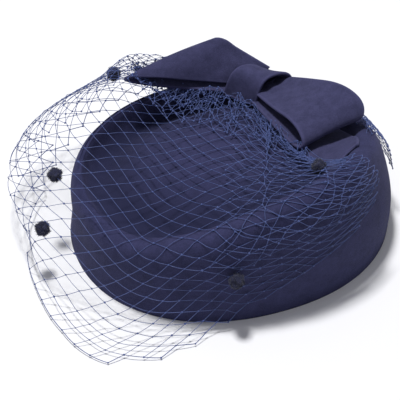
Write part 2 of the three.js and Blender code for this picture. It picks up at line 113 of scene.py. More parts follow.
# Bow strips, a row for each section: its two edges along, back across and up from the knot's seat,
# as shares of the bow's length, width and rise.
LEFT_LOOP = (
    ((-0.02, 0.10), (0.07, 0.19), (0.38, 0.48)),
    ((-0.19, -0.02), (0.01, 0.23), (0.59, 0.79)),
    ((-0.25, -0.05), (-0.03, 0.23), (0.70, 0.89)),
    ((-0.34, -0.08), (-0.07, 0.23), (0.84, 1.04)),
    ((-0.49, -0.13), (-0.11, 0.24), (0.92, 1.05)),
    ((-0.48, -0.14), (-0.10, 0.24), (0.78, 0.85)),
    ((-0.34, -0.10), (-0.06, 0.24), (0.60, 0.66)),
    ((-0.27, -0.08), (-0.03, 0.24), (0.50, 0.55)),
    ((-0.04, 0.07), (0.02, 0.14), (0.28, 0.30)),
)
RIGHT_LOOP = (
    ((0.04, 0.15), (-0.08, 0.08), (0.50, 0.50)),
    ((0.11, 0.25), (-0.35, -0.07), (0.74, 0.77)),
    ((0.14, 0.29), (-0.45, -0.14), (0.85, 0.89)),
    ((0.18, 0.37), (-0.58, -0.23), (0.97, 1.03)),
    ((0.22, 0.46), (-0.72, -0.35), (0.89, 0.93)),
    ((0.21, 0.46), (-0.74, -0.44), (0.67, 0.65)),
    ((0.15, 0.37), (-0.59, -0.40), (0.62, 0.57)),
    ((0.11, 0.31), (-0.46, -0.28), (0.61, 0.55)),
    ((0.03, 0.15), (-0.11, 0.03), (0.36, 0.34)),
)
KNOT_WRAP = (
    ((0.09, 0.21), (0.08, 0.00), (-0.08, -0.08)),
    ((0.08, 0.20), (0.12, 0.04), (0.32, 0.32)),
    ((0.07, 0.19), (0.13, 0.05), (0.54, 0.55)),
    ((0.05, 0.17), (0.12, 0.03), (0.68, 0.71)),
    ((0.00, 0.12), (0.07, -0.04), (0.79, 0.84)),
    ((-0.05, 0.06), (0.02, -0.11), (0.78, 0.83)),
    ((-0.08, 0.04), (0.01, -0.13), (0.28, 0.32)),
)
TAIL = (
    ((0.14, 0.34), (-0.44, -0.28), (0, 0)),
    ((0.18, 0.39), (-0.60, -0.38), (0, 0)),
    ((0.22, 0.42), (-0.76, -0.50), (0, 0)),
    ((0.26, 0.43), (-0.88, -0.62), (0, 0)),
    ((0.30, 0.42), (-0.98, -0.74), (0, 0)),
)

# Ribs of the veil, from the back behind the bow, round the left, to its near end.
# x and y place a rib's start, in halves of the crown; the rest are shares of the veil's sizes.
RIB_COLUMNS = ("turn", "x", "y", "rise", "span", "top", "high", "mid", "low", "out", "hem")
VEIL_RIBS = np.array([
    (-14, 0.84, -0.34, 0.0, 0.1, 0.10, 0.05, 0.06, 0.06, 0.05, 0.38),
    (8, 0.86, -0.02, 0.0, 0.1, 0.10, 0.03, 0.04, 0.04, 0.04, 0.44),
    (30, 0.80, 0.28, 0.0, 0.1, 0.10, 0.03, 0.03, 0.04, 0.04, 0.42),
    (52, 0.60, 0.56, 0.1, 0.1, 0.12, 0.04, 0.05, 0.06, 0.06, 0.40),
    (74, 0.20, 0.86, 0.3, 0.2, 0.34, 0.16, 0.16, 0.16, 0.14, 0.40),
    (94, -0.14, 0.90, 0.4, 0.4, 0.80, 0.36, 0.44, 0.36, 0.26, 0.42),
    (112, -0.36, 0.94, 0.27, 0.8, 1.15, 0.62, 0.75, 0.55, 0.35, 0.42),
    (130, -0.28, 0.91, 0.23, 0.9, 1.25, 1.00, 0.98, 0.60, 0.35, 0.20),
    (150, -0.20, 0.87, 0.21, 0.8, 1.05, 1.10, 1.00, 0.60, 0.35, 0.06),
    (168, -0.11, 0.82, 0.49, 0.6, 0.75, 0.98, 0.75, 0.55, 0.46, 0.02),
    (186, -0.03, 0.77, 0.57, 0.4, 0.45, 0.60, 0.64, 0.70, 0.60, 0.00),
    (204, 0.06, 0.70, 0.53, 0.3, 0.20, 0.12, 0.28, 0.52, 0.78, 0.00),
    (222, 0.15, 0.61, 0.39, 0.2, 0.14, 0.06, 0.08, 0.34, 0.88, 0.00),
    (238, 0.23, 0.51, 0.27, 0.1, 0.14, 0.06, 0.02, 0.14, 0.50, 0.00),
    (252, 0.28, 0.35, 0.12, 0.1, 0.14, 0.06, 0.02, 0.02, 0.10, 0.02),
    (266, 0.29, 0.11, 0.07, 0.0, 0.14, 0.06, 0.02, 0.00, 0.00, 0.24),
    (280, 0.30, -0.15, 0.06, 0.0, 0.14, 0.06, 0.02, 0.00, 0.00, 0.40),
    (296, 0.32, -0.41, 0.09, 0.0, 0.20, 0.06, 0.02, 0.00, 0.00, 0.56),
    (312, 0.43, -0.64, 0.13, 0.0, 0.14, 0.06, 0.02, 0.00, 0.00, 0.68),
])

# How the near net lies on the veil: a row for millimetres round it and a row for millimetres down it.
# A knot's place (p, q) in the lattice counts in tens of cells; columns are 1, p, q, p p, p q and q q.
NET_LAY = np.array([
    (317.2, 88.4, 60.9, -7.3, 6.9, 18.6),
    (94.9, 16.9, -58.8, 18.9, 39.5, 14.7),
])

# Steps of the surfaces
CROWN_AROUND = 288
CROWN_STEPS = 110
SLOPE_STEP = 0.004
NET_REACH = 90

# Painted shade: where the felt's colour is darkened in the groove and on the dome's lower slope, by share up
# the crown's section: it starts, is full, ends being full, ends.
GROOVE_PAINTED_SHADE = (0.54, 0.59, 0.70, 0.88)


def mix(a, b, share):
    """The value a share of the way from a to b."""
    return a + (b - a) * share


def unit(vectors):
    """Each vector divided by its length."""
    return vectors / np.maximum(np.linalg.norm(vectors, axis=-1, keepdims=True), 1e-12)


def wave(place, periods, phases):
    """A soft unevenness: the mean of sines along a place, one for each period and phase."""
    return sum(np.sin(TURN * place / p + f) for p, f in zip(periods, phases)) / len(periods)


def basis(count, shares):
    """Weights of count control values at each share of a clamped cubic B-spline, one row a share."""
    spans = count + 1
    place = np.clip(np.asarray(shares, float), 0, 1) * spans
    start = np.minimum(np.floor(place), spans - 1).astype(int)
    f = place - start
    rows = np.arange(len(start))
    out = np.zeros((len(start), count))
    weights = ((1 - f) ** 3, 3 * f**3 - 6 * f**2 + 4, -3 * f**3 + 3 * f**2 + 3 * f + 1, f**3)
    for k, weight in enumerate(weights):
        np.add.at(out, (rows, np.clip(start + k - 2, 0, count - 1)), weight / 6)
    return out


def ring_value(column, turn):
    """A crown column at turns in degrees, on a closed Catmull-Rom curve through its rows."""
    values = CROWN_SECTIONS[:, CROWN_COLUMNS.index(column)]
    count = len(values)
    place = np.asarray(turn, float) % 360 / 360 * count
    i = np.floor(place).astype(int)
    f = place - i
    a, b, c, d = (values[(i + k) % count] for k in (-1, 0, 1, 2))
    return b + 0.5 * f * (c - a + f * (2 * a - 5 * b + 4 * c - d + f * (3 * (b - c) + d - a)))


def oval(inset, angle):
    """The superellipse round the hat, inset from the bottom edge: cosine and sine to a power."""
    bend = 2 / CROWN_SQUARENESS
    c, s = np.cos(angle), np.sin(angle)
    x = (CROWN_LENGTH / 2 - inset) * np.sign(c) * np.abs(c) ** bend
    y = (CROWN_WIDTH / 2 - inset) * np.sign(s) * np.abs(s) ** bend
    return x, y


def crown_controls(angle):
    """Control points of the crown's section at each angle: wall, shoulder, rim, groove, dome."""
    turn = np.degrees(angle)
    at = {column: ring_value(column, turn) for column in CROWN_COLUMNS[1:]}
    crest = at["crest"] * CREST_HEIGHT
    bulge = at["bulge"] * WALL_BULGE
    lean = at["lean"] * WALL_LEAN
    rim = lean + at["rim"] * RIM_WIDTH
    floor = crest - at["groove"] * GROOVE_DEPTH
    dome = at["dome"] * DOME_HEIGHT

    def ring(inset, height):
        x, y = oval(inset, angle)
        return np.stack([x, y, height + 0 * x], -1)

    def dome_ring(share):
        x, y = oval(rim + GROOVE_WIDTH, angle)
        height = mix(DOME_HEIGHT, dome, share**2)
        return np.stack([x * share + DOME_SHIFT * (share - 1), y * share, height], -1)

    return np.stack([
        ring(0, 0),
        ring(lean * 0.04 - bulge * 0.5, crest * 0.2),
        ring(lean * 0.2 - bulge, crest * 0.45),
        ring(lean * 0.7, crest * 0.78),
        ring(lean + SHOULDER_INSET * 0.25, crest * 0.98),
        ring(lean + SHOULDER_INSET, crest * 1.02),
        ring(rim * 0.85, crest * 1.01),
        ring(rim, crest * 0.98),
        ring(rim + GROOVE_WIDTH * 0.1, mix(crest, floor, 0.8)),
        ring(rim + GROOVE_WIDTH * 0.45, floor),
        ring(rim + GROOVE_WIDTH * 0.85, mix(floor, dome, 0.3)),
        dome_ring(0.86),
        dome_ring(0.6),
        dome_ring(0.3),
        dome_ring(0),
    ], 1)


def crown_surface(angles, shares):
    """The crown's outside at angles and shares: points and outward normals, shares by angles."""
    def at(turned, moved):
        weights = basis(15, np.clip(shares + moved, 0, 1))
        return np.einsum("sc,ncx->snx", weights, crown_controls(angles + turned))

    points = at(0, 0)
    up = at(0, SLOPE_STEP) - at(0, -SLOPE_STEP)
    round_ = at(SLOPE_STEP, 0) - at(-SLOPE_STEP, 0)
    return points, unit(np.cross(round_, up))


SAMPLE_POINTS, SAMPLE_NORMALS = (
    part.reshape(-1, 3)
    for part in crown_surface(np.arange(144) / 144 * TURN, np.linspace(0, 0.995, 90))
)
SAMPLE_TOP = SAMPLE_POINTS[len(SAMPLE_POINTS) * 2 // 5:]


def nearest(points, samples):
    """Index of the sample nearest to each point, by squared distance, in blocks."""
    size = (samples**2).sum(1)
    blocks = [size - 2 * block @ samples.T for block in np.array_split(points, len(points) // 400 + 1)]
    return np.concatenate([block.argmin(1) for block in blocks])


def stand_off(points, height):
    """Points near the crown moved outwards until each stands at least height off it."""
    moved = points.reshape(-1, 3).copy()
    height = np.broadcast_to(height, points.shape[:-1]).reshape(-1)
    for _ in range(3):
        i = nearest(moved, SAMPLE_POINTS)
        away = moved - SAMPLE_POINTS[i]
        off = (away * SAMPLE_NORMALS[i]).sum(1)
        push = np.where((away**2).sum(1) < PUSH_REACH**2, np.maximum(height - off, 0), 0)
        moved += SAMPLE_NORMALS[i] * push[:, None]
    return moved.reshape(points.shape)


def crown_height(x, y):
    """The crown's height over each plan point."""
    flat = np.stack([np.ravel(x), np.ravel(y)], -1)
    return SAMPLE_TOP[nearest(flat, SAMPLE_TOP[:, :2]), 2].reshape(np.shape(x))


# The hat's place in the frame: the crown's box, worked out here and read from the frame.
CROWN_BOX = np.array(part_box("felt_crown")) / MM
SHIFT = CROWN_BOX.mean(0) - (SAMPLE_POINTS.max(0) + SAMPLE_POINTS.min(0)) / 2
SHIFT[2] = 0


def grid_quads(rows, columns, closed=False):
    """Quads of a grid of points, row by row; closed joins its last column to its first."""
    i, j = np.meshgrid(np.arange(rows - 1), np.arange(columns - (not closed)), indexing="ij")
    after = (j + 1) % columns
    quads = [i * columns + j, i * columns + after, (i + 1) * columns + after, (i + 1) * columns + j]
    return np.stack(quads, -1).reshape(-1, 4)


def piece(name, points, faces, material, replaces=()):
    """A smooth mesh piece of the hat from points in millimetres and faces as index arrays."""
    mesh = bpy.data.meshes.new(name)
    mesh.vertices.add(len(points))
    mesh.vertices.foreach_set("co", ((points + SHIFT) * MM).astype(np.float32).ravel())
    sizes = np.concatenate([np.full(len(block), block.shape[1]) for block in faces])
    corners = np.concatenate([block.ravel() for block in faces])
    mesh.loops.add(len(corners))
    mesh.loops.foreach_set("vertex_index", corners.astype(np.int32))
    mesh.polygons.add(len(sizes))
    mesh.polygons.foreach_set("loop_start", (np.cumsum(sizes) - sizes).astype(np.int32))
    mesh.polygons.foreach_set("use_smooth", np.ones(len(sizes), bool))
    mesh.update(calc_edges=True)
    mesh.validate()
    mesh.materials.append(material)
    thing = bpy.data.objects.new(name, mesh)
    bpy.context.scene.collection.objects.link(thing)
    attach(thing, "root")
    if replaces:
        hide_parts(*replaces)
    return thing


def mark(thing, name, values):
    """Stores a value for each point of a piece, for its material to read."""
    layer = thing.data.attributes.new(name, "FLOAT", "POINT")
    layer.data.foreach_set("value", np.asarray(values, np.float32).ravel())


# Materials

def node_tree_tools(tree):
    """Two short helpers for a node tree: one makes a node, one joins two sockets."""
    def make(kind, **values):
        node = tree.nodes.new(kind)
        for key, value in values.items():
            setattr(node, key, value)
        return node

    def join(a, b):
        tree.links.new(a, b)

    return make, join


def felt_nap_group():
    """Felt: a mottled colour, short crossing fibres and a soft bump, all read from the object's place."""
    group = bpy.data.node_groups.new("felt_nap", "ShaderNodeTree")
    face = group.interface
    for label, kind in (("Colour", "NodeSocketColor"), ("Light", "NodeSocketColor"),
                        ("Fibre scale", "NodeSocketFloat"), ("Mottle scale", "NodeSocketFloat"),
                        ("Edge", "NodeSocketFloat"), ("Painted shade", "NodeSocketFloat"),
                        ("Depth", "NodeSocketFloat")):
        face.new_socket(name=label, in_out="INPUT", socket_type=kind)
    face.new_socket(name="Colour", in_out="OUTPUT", socket_type="NodeSocketColor")
    face.new_socket(name="Roughness", in_out="OUTPUT", socket_type="NodeSocketFloat")
    face.new_socket(name="Normal", in_out="OUTPUT", socket_type="NodeSocketVector")
    make, join = node_tree_tools(group)
    given, out = make("NodeGroupInput"), make("NodeGroupOutput")
    place = make("ShaderNodeTexCoord").outputs["Object"]

    mottle = make("ShaderNodeTexNoise")
    mottle.inputs["Detail"].default_value = 5
    mottle.inputs["Roughness"].default_value = 0.65
    join(place, mottle.inputs["Vector"])
    join(given.outputs["Mottle scale"], mottle.inputs["Scale"])

    warp = make("ShaderNodeTexNoise")
    warp.inputs["Scale"].default_value = 900
    warp.inputs["Detail"].default_value = 2
    join(place, warp.inputs["Vector"])
    bent = make("ShaderNodeMix", data_type="VECTOR")
    bent.inputs["Factor"].default_value = 0.0016
    join(place, bent.inputs["A"])
    join(warp.outputs["Color"], bent.inputs["B"])
    fibres = make("ShaderNodeTexVoronoi", feature="DISTANCE_TO_EDGE")
    join(bent.outputs["Result"], fibres.inputs["Vector"])
    join(given.outputs["Fibre scale"], fibres.inputs["Scale"])
    lint = make("ShaderNodeMapRange")
    lint.inputs["From Max"].default_value = 0.16
    lint.inputs["To Min"].default_value = 1
    lint.inputs["To Max"].default_value = 0
    join(fibres.outputs["Distance"], lint.inputs["Value"])

    speck = make("ShaderNodeTexNoise")
    speck.inputs["Detail"].default_value = 3
    join(place, speck.inputs["Vector"])
    join(given.outputs["Fibre scale"], speck.inputs["Scale"])

    light = make("ShaderNodeMath", operation="MULTIPLY_ADD")
    join(lint.outputs["Result"], light.inputs[0])
    light.inputs[1].default_value = 0.30
    join(mottle.outputs["Fac"], light.inputs[2])
    grain = make("ShaderNodeMath", operation="MULTIPLY_ADD")
    join(speck.outputs["Fac"], grain.inputs[0])
    grain.inputs[1].default_value = 0.5
    join(light.outputs[0], grain.inputs[2])
    shown = make("ShaderNodeMapRange")
    shown.inputs["From Min"].default_value = 0.55
    shown.inputs["From Max"].default_value = 1.15
    join(grain.outputs[0], shown.inputs["Value"])
    worn = make("ShaderNodeMath", operation="MULTIPLY_ADD", use_clamp=True)
    join(given.outputs["Edge"], worn.inputs[0])
    worn.inputs[1].default_value = 0.8
    join(shown.outputs["Result"], worn.inputs[2])
    # Painted shade: the lighter nap and edge colour fade out where the painted shade input is full, so the
    # felt shows darker there.
    flat = make("ShaderNodeMapRange")
    flat.inputs["To Min"].default_value = 1
    flat.inputs["To Max"].default_value = 0
    join(given.outputs["Painted shade"], flat.inputs["Value"])
    shaded_nap = make("ShaderNodeMath", operation="MULTIPLY")
    join(worn.outputs[0], shaded_nap.inputs[0])
    join(flat.outputs["Result"], shaded_nap.inputs[1])
    colour = make("ShaderNodeMix", data_type="RGBA")
    join(shaded_nap.outputs[0], colour.inputs["Factor"])
    join(given.outputs["Colour"], colour.inputs["A"])
    join(given.outputs["Light"], colour.inputs["B"])
    join(colour.outputs["Result"], out.inputs["Colour"])

    rough = make("ShaderNodeMapRange")
    rough.inputs["To Min"].default_value = 0.86
    rough.inputs["To Max"].default_value = 0.98
    join(mottle.outputs["Fac"], rough.inputs["Value"])
    join(rough.outputs["Result"], out.inputs["Roughness"])

    bump = make("ShaderNodeBump")
    bump.inputs["Distance"].default_value = 0.0006
    join(given.outputs["Depth"], bump.inputs["Strength"])
    join(grain.outputs[0], bump.inputs["Height"])
    join(bump.outputs["Normal"], out.inputs["Normal"])
    return group


def felt_material(name, colour, light, sheen, nap, fibre=1500, mottle=160, depth=0.5):
    """Matt felt in one colour, with a lighter nap, paler cut edges, painted shade read from a point attribute
    and a faint sheen.
    """
    material = bpy.data.materials.new(name)
    material.use_nodes = True
    tree = material.node_tree
    make, join = node_tree_tools(tree)
    shader = tree.nodes["Principled BSDF"]
    surface = make("ShaderNodeGroup")
    surface.node_tree = nap
    surface.inputs["Colour"].default_value = (*colour, 1)
    surface.inputs["Light"].default_value = (*light, 1)
    surface.inputs["Fibre scale"].default_value = fibre
    surface.inputs["Mottle scale"].default_value = mottle
    surface.inputs["Depth"].default_value = depth
    edge = make("ShaderNodeAttribute", attribute_name="edge")
    join(edge.outputs["Fac"], surface.inputs["Edge"])
    # Painted shade: a point attribute that darkens the felt's colour where the crown's groove lies in shade.
    painted_shade = make("ShaderNodeAttribute", attribute_name="painted_shade")
    join(painted_shade.outputs["Fac"], surface.inputs["Painted shade"])
    join(surface.outputs["Colour"], shader.inputs["Base Color"])
    join(surface.outputs["Roughness"], shader.inputs["Roughness"])
    join(surface.outputs["Normal"], shader.inputs["Normal"])
    shader.inputs["Sheen Weight"].default_value = sheen
    shader.inputs["Sheen Roughness"].default_value = 0.5
    shader.inputs["Sheen Tint"].default_value = (0.45, 0.45, 0.85, 1)
    shader.inputs["Specular IOR Level"].default_value = 0.2
    return material


def thread_material(name, colour, light, rough, sheen):
    """Thread or chenille: two close colours in soft patches, with a fine bump of fibres."""
    material = bpy.data.materials.new(name)
    material.use_nodes = True
    tree = material.node_tree
    make, join = node_tree_tools(tree)
    shader = tree.nodes["Principled BSDF"]
    place = make("ShaderNodeTexCoord").outputs["Object"]
    patches = make("ShaderNodeTexNoise")
    patches.inputs["Scale"].default_value = 260
    patches.inputs["Detail"].default_value = 4
    join(place, patches.inputs["Vector"])
    shade = make("ShaderNodeMix", data_type="RGBA")
    shade.inputs["A"].default_value = (*colour, 1)
    shade.inputs["B"].default_value = (*light, 1)
    join(patches.outputs["Fac"], shade.inputs["Factor"])
    join(shade.outputs["Result"], shader.inputs["Base Color"])
    twist = make("ShaderNodeTexWave", wave_type="BANDS", bands_direction="DIAGONAL")
    twist.inputs["Scale"].default_value = 900
    twist.inputs["Distortion"].default_value = 3
    join(place, twist.inputs["Vector"])
    bump = make("ShaderNodeBump")
    bump.inputs["Strength"].default_value = 0.4
    bump.inputs["Distance"].default_value = 0.0002
    join(twist.outputs["Fac"], bump.inputs["Height"])
    join(bump.outputs["Normal"], shader.inputs["Normal"])
    shader.inputs["Roughness"].default_value = rough
    shader.inputs["Sheen Weight"].default_value = sheen
    shader.inputs["Sheen Roughness"].default_value = 0.4
    return material


# Felt crown

def felt_crown(material):
    """The crown: its outside, a rounded cut edge and its inside a wall further in, on one closed grid."""
    angles = np.arange(CROWN_AROUND) / CROWN_AROUND * TURN
    shares = np.linspace(0, 1 - 0.5 / CROWN_STEPS, CROWN_STEPS)
    points, normals = crown_surface(angles, shares)
    level = normals[0].copy()
    level[:, 2] = 0
    normals[0] = unit(level)
    ease = np.clip(shares / 0.05, 0, 1)[:, None]
    dent = wave(points[..., 0] + 0.4 * points[..., 2], (31, 53, 83), (0.4, 2.1, 4.0))
    dent = dent + wave(points[..., 1] - 0.3 * points[..., 2], (37, 61, 97), (1.4, 0.3, 5.1))
    outside = points + normals * (dent * 0.22 * ease)[..., None]
    inside = outside - normals * FELT_WALL
    half = FELT_WALL / 2
    middle = outside[0] - normals[0] * half
    bend = np.linspace(0, np.pi, 7)[1:-1]
    cut = [middle + normals[0] * half * np.cos(b) + [0, 0, half * 0.5 * (1 - np.sin(b))] for b in bend]
    outside[0, :, 2] += half * 0.5
    inside[0, :, 2] += half * 0.5
    rows = np.concatenate([outside[::-1], np.stack(cut), inside])
    rows[..., 2] = np.maximum(rows[..., 2], 0)
    count = rows.shape[0]
    top, under = rows[0].mean(0), rows[-1].mean(0)
    points = np.concatenate([rows.reshape(-1, 3), [top, under]])
    j = np.arange(CROWN_AROUND)
    after = (j + 1) % CROWN_AROUND
    last = (count - 1) * CROWN_AROUND
    cap = np.stack([np.full_like(j, count * CROWN_AROUND), after, j], -1)
    floor = np.stack([np.full_like(j, count * CROWN_AROUND + 1), last + j, last + after], -1)
    quads = grid_quads(count, CROWN_AROUND, closed=True)
    thing = piece("felt_crown_shell", points, [quads, cap, floor], material, ["felt_crown"])
    from_edge = np.abs(np.arange(count) - (CROWN_STEPS + 2))
    edge = np.clip(1 - from_edge / 3.0, 0, 1)
    mark(thing, "edge", np.concatenate([np.repeat(edge, CROWN_AROUND), [0, 0]]))
    # Painted shade: darker felt colour in the groove and on the dome's lower slope, where shade falls.
    painted_shade = np.zeros(count)
    painted_shade[:CROWN_STEPS] = np.interp(shares[::-1], GROOVE_PAINTED_SHADE, (0, 1, 1, 0))
    mark(thing, "painted_shade", np.concatenate([np.repeat(painted_shade, CROWN_AROUND), [0, 0]]))
    return thing


# Felt bow

def bow_point(along, back, up):
    """A place given along the bow, back across it and up, turned on the crown."""
    turn = np.radians(BOW_TURN_DEG)
    x = along * np.cos(turn) - back * np.sin(turn)
    y = along * np.sin(turn) + back * np.cos(turn)
    return np.stack([x, y, up], -1)


KNOT_SEAT = bow_point(KNOT_ACROSS, KNOT_BACK, 0.0)
KNOT_SEAT[2] = crown_height(KNOT_SEAT[0], KNOT_SEAT[1]) + CLEARANCE


def strip_middle(rows, along, across, lies, shape):
    """The strip's middle sheet: a B-spline through each edge's points, straight across between them.

    shape adds a height along the sheet's normal for each pair of shares, for curl and pleats.
    """
    table = np.array(rows, float)
    edges = bow_point(table[:, 0] * BOW_LENGTH, table[:, 1] * BOW_WIDTH, table[:, 2] * BOW_RISE)
    edges = edges + KNOT_SEAT
    if lies:
        edges[..., 2] = table[:, 2] * BOW_RISE + BOW_FELT / 2 + CLEARANCE
        edges[..., 2] += crown_height(edges[..., 0], edges[..., 1])
    s, t = np.linspace(0, 1, along), np.linspace(0, 1, across)

    def sheet(shares):
        near, far = (basis(len(rows), shares) @ edges[:, side] for side in (0, 1))
        return near[:, None] + (far - near)[:, None] * t[None, :, None]

    points = sheet(s)
    down = sheet(np.clip(s + 0.01, 0, 1)) - sheet(np.clip(s - 0.01, 0, 1))
    over = (points[:, -1] - points[:, 0])[:, None]
    normals = unit(np.cross(down, np.broadcast_to(over, down.shape)))
    points = points + normals * shape(s[:, None], t[None, :])[..., None]
    points = stand_off(points, BOW_FELT / 2 + CLEARANCE)
    down = np.gradient(points, axis=0)
    over = np.gradient(points, axis=1)
    return points, unit(np.cross(down, over)), unit(down), unit(over)


def felt_strip(name, rows, material, along=120, across=36, lies=False, shape=lambda s, t: 0 * s * t):
    """A strip of felt: a closed ring round each section, top, rounded edge, underside, rounded edge."""
    points, normals, down, over = strip_middle(rows, along, across, lies, shape)
    half = BOW_FELT / 2
    bend = np.linspace(0, np.pi, 6)[1:-1]

    def ring(i, grow, push):
        lift = half * grow
        p, n = points[i], normals[i]
        o, d = over[i], down[i] * push
        far = [p[-1] + n[-1] * lift * np.cos(b) + o[-1] * lift * np.sin(b) for b in bend]
        near = [p[0] - n[0] * lift * np.cos(b) - o[0] * lift * np.sin(b) for b in bend]
        loop = np.concatenate([p + n * lift, np.stack(far), (p - n * lift)[::-1], np.stack(near)])
        return loop + d[len(d) // 2]

    rings = [ring(0, g, -half * q) for g, q in ((0.1, 0.98), (0.6, 0.8), (0.9, 0.4))]
    rings += [ring(i, 1, 0) for i in range(along)]
    rings += [ring(along - 1, g, half * q) for g, q in ((0.9, 0.4), (0.6, 0.8), (0.1, 0.98))]
    rows_ = np.stack(rings)
    count, around = rows_.shape[:2]
    flat = rows_.reshape(-1, 3)
    ends = np.stack([rows_[0].mean(0), rows_[-1].mean(0)])
    j = np.arange(around)
    after = (j + 1) % around
    start = np.stack([np.full_like(j, len(flat)), after, j], -1)
    last = (count - 1) * around
    close = np.stack([np.full_like(j, len(flat) + 1), last + j, last + after], -1)
    quads = grid_quads(count, around, closed=True)
    thing = piece(f"{name}_felt", np.concatenate([flat, ends]), [quads, start, close],
                  material, [name])
    side = np.zeros(around)
    side[across - 1:across + len(bend) + 1] = 1
    side[-len(bend) - 1:] = 1
    side[0] = 1
    edge = np.broadcast_to(side, (count, around)).copy()
    edge[:3] = 1
    edge[-3:] = 1
    mark(thing, "edge", np.concatenate([edge.ravel() * 0.6, [1, 1]]))
    return thing


# Veil

def rib_points(table, down_steps):
    """The veil's ribs: a B-spline of seven points each, resampled evenly by its own length."""
    at = {name: table[:, k] for k, name in enumerate(RIB_COLUMNS)}
    angle = np.radians(at["turn"])
    crest_point = crown_controls(angle)[:, 5]
    crest = crest_point[:, 2]
    hem = at["hem"] * CREST_HEIGHT

    def inset(share):
        lean = ring_value("lean", at["turn"]) * WALL_LEAN
        bulge = ring_value("bulge", at["turn"]) * WALL_BULGE
        return lean * share**2 - bulge * np.sin(np.pi * share)

    def wall(share, stand):
        height = mix(hem, crest, share)
        x, y = oval(inset(height / crest) - stand * VEIL_STAND, angle)
        return np.stack([x, y, height], -1)

    start = np.stack([at["x"] * CROWN_LENGTH / 2, at["y"] * CROWN_WIDTH / 2, 0 * hem], -1)
    start[:, 2] = crown_height(start[:, 0], start[:, 1]) + at["rise"] * VEIL_LIFT
    over = crest_point.copy()
    over[:, 2] = crest + at["top"] * VEIL_LIFT
    span = (start + over) / 2
    span[:, 2] = np.maximum(span[:, 2], crown_height(span[:, 0], span[:, 1])) + at["span"] * VEIL_LIFT
    hem_x, hem_y = oval(inset(hem / crest) - at["out"] * VEIL_SKIRT, angle)
    foot = np.stack([hem_x, hem_y, np.maximum(hem, NET_KNOT)], -1)
    controls = np.stack([start, span, over, wall(0.75, at["high"]), wall(0.45, at["mid"]),
                         wall(0.15, at["low"]), foot], 1)
    fine = np.einsum("sc,ncx->nsx", basis(7, np.linspace(0, 1, 121)), controls)
    steps = np.linalg.norm(np.diff(fine, axis=1), axis=2)
    length = np.concatenate([np.zeros((len(fine), 1)), steps.cumsum(1)], 1)
    goals = np.linspace(0, 1, down_steps)
    even = [[np.interp(goals * l[-1], l, f[:, k]) for k in range(3)] for l, f in zip(length, fine)]
    return np.moveaxis(np.array(even), 1, 2)


class VeilSurface:
    """The veil as a fine grid of points, read at any pair of shares by blending its four corners."""

    def __init__(self, table, ribs=260, down=90):
        shares = np.linspace(0, 1, ribs)
        rows = basis(len(table), shares) @ table
        self.grid = stand_off(rib_points(rows, down), NET_THREAD + CLEARANCE)
        self.grid[..., 2] = np.maximum(self.grid[..., 2], NET_KNOT)
        u = np.gradient(self.grid, axis=0)
        v = np.gradient(self.grid, axis=1)
        self.normals = unit(np.cross(v, u))
        band = self.grid[:, down * 9 // 20]
        steps = np.linalg.norm(np.diff(band, axis=0), axis=1)
        self.length = np.concatenate([[0], steps.cumsum()])
        self.shares = shares

    def across(self, length):
        """The share round the veil at a length along its band."""
        return np.interp(length, self.length, self.shares)

    def read(self, values, u, v):
        ribs, down = values.shape[:2]
        a = np.clip(u, 0, 1) * (ribs - 1)
        b = np.clip(v, 0, 1) * (down - 1)
        i = np.minimum(a.astype(int), ribs - 2)
        j = np.minimum(b.astype(int), down - 2)
        f, g = (a - i)[..., None], (b - j)[..., None]
        low = mix(values[i, j], values[i + 1, j], f)
        high = mix(values[i, j + 1], values[i + 1, j + 1], f)
        return mix(low, high, g)

    def point(self, u, v):
        return self.read(self.grid, u, v)

    def normal(self, u, v):
        return unit(self.read(self.normals, u, v))


def tubes(paths, normals, radius, sides=5):
    """Round threads: a ring of sides about every point of each path, closed at both ends."""
    count, steps = paths.shape[:2]
    ahead = unit(np.gradient(paths, axis=1))
    side = unit(np.cross(ahead, normals))
    up = np.cross(side, ahead)
    bend = np.arange(sides) / sides * TURN
    wide = np.broadcast_to(radius, (count, steps))[..., None, None]
    ring = side[:, :, None] * np.cos(bend)[:, None] + up[:, :, None] * np.sin(bend)[:, None]
    points = paths[:, :, None] + ring * wide
    quads = grid_quads(steps, sides, closed=True)
    starts = (np.arange(count) * steps * sides)[:, None, None]
    caps = np.stack([np.arange(sides)[::-1], (steps - 1) * sides + np.arange(sides)])
    tube_quads = (quads[None] + starts).reshape(-1, 4)
    return points.reshape(-1, 3), tube_quads, (caps[None] + starts).reshape(-1, sides)


def beads(centres, normals, radius, rings=3, sides=6):
    """Small knots: a low ball at each centre, flattened a little along the surface's normal."""
    height = np.cos(np.linspace(0, np.pi, rings + 2))[1:-1]
    bend = np.arange(sides) / sides * TURN
    side = unit(np.cross(normals, [0.3, 0.2, 0.9]))
    other = np.cross(normals, side)
    wide = np.sqrt(1 - height**2)
    ring = side[:, None] * np.cos(bend)[:, None] + other[:, None] * np.sin(bend)[:, None]
    size = np.broadcast_to(radius, len(centres))[:, None, None, None]
    body = ring[:, None] * wide[:, None, None] + normals[:, None, None] * height[:, None, None] * 0.8
    body = centres[:, None, None] + body * size
    tips = centres[:, None] + normals[:, None] * np.array([0.8, -0.8])[:, None] * size[:, :, 0]
    per = rings * sides + 2
    points = np.concatenate([body.reshape(len(centres), -1, 3), tips], 1).reshape(-1, 3)
    starts = (np.arange(len(centres)) * per)[:, None, None]
    quads = grid_quads(rings, sides, closed=True)[:, ::-1]
    j = np.arange(sides)
    after = (j + 1) % sides
    top = np.stack([np.full_like(j, per - 2), j, after], -1)
    last = (rings - 1) * sides
    foot = np.stack([np.full_like(j, per - 1), last + after, last + j], -1)
    tris = np.concatenate([top, foot])
    return points, (quads[None] + starts).reshape(-1, 4), (tris[None] + starts).reshape(-1, 3)


